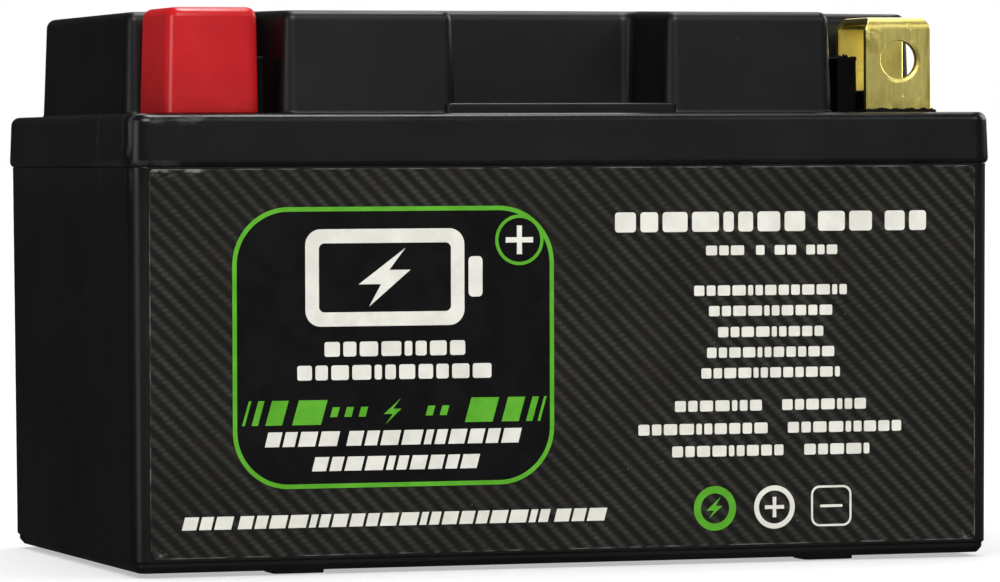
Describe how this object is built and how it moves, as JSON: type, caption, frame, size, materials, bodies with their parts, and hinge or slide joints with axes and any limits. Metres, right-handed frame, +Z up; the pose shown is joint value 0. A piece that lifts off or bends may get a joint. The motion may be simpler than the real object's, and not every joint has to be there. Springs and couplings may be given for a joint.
{
  "type": "motorcycle battery",
  "caption": "Sealed rectangular motorcycle battery with raised lid blocks, bent brass terminals in open corner pockets and a lift-off cap over the positive one.",
  "frame": {"origin": "centre of the footprint, level with the underside of the feet", "axes": "+X along the length with the positive terminal at -X, +Y from the labelled front to the back, +Z up"},
  "size_m": [0.15, 0.087, 0.0921],
  "materials": {
    "case_plastic": "satin, fine grain",
    "sealant": "matte",
    "label_film": "printed film, woven carbon pattern",
    "cap_plastic": "satin gloss",
    "brass": "brushed, lightly scratched",
    "potting": "matte",
    "cell_wrap": "shrink sleeve",
    "tray_plastic": "matte",
    "nickel": "bright strip",
    "fibre": "matte",
    "board": "solder mask",
    "chip": "matte",
    "plug_plastic": "matte",
    "wire_cover": "satin",
    "steel": "zinc plated",
    "copper": "copper strip",
    "foam": "open cell foam"
  },
  "bodies": {
    "battery": {"case": "case_plastic", "lid": "case_plastic", "lid_seal": "sealant", "front_label": "label_film", "positive_terminal": "brass", "negative_terminal": "brass", "positive_seal": "potting", "negative_seal": "potting", "cell_1": "cell_wrap", "cell_2": "cell_wrap", "cell_3": "cell_wrap", "cell_4": "cell_wrap", "cell_5": "cell_wrap", "cell_6": "cell_wrap", "cell_7": "cell_wrap", "cell_8": "cell_wrap", "lower_tray": "tray_plastic", "upper_tray": "tray_plastic", "bar_positive": "nickel", "bar_1_2": "nickel", "bar_2_3": "nickel", "bar_3_4": "nickel", "bar_negative": "nickel", "insulation_sheet": "fibre", "control_board": "board", "board_transistors": "chip", "board_resistors": "chip", "board_chips": "chip", "sense_connector": "plug_plastic", "sense_wires": "wire_cover", "board_screws": "steel", "positive_strap": "copper", "negative_strap": "copper", "pack_strap": "copper", "strap_screws": "steel", "strap_nuts": "steel", "foam_left": "foam", "foam_right": "foam", "foam_front": "foam", "foam_back": "foam"},
    "cap": {"terminal_cap": "cap_plastic"}
  },
  "joints": [
    {"name": "cap_lift", "type": "slide", "parent": "battery", "child": "cap", "axis": [0, 0, 1], "range_m": [0, 0.03]}
  ]
}
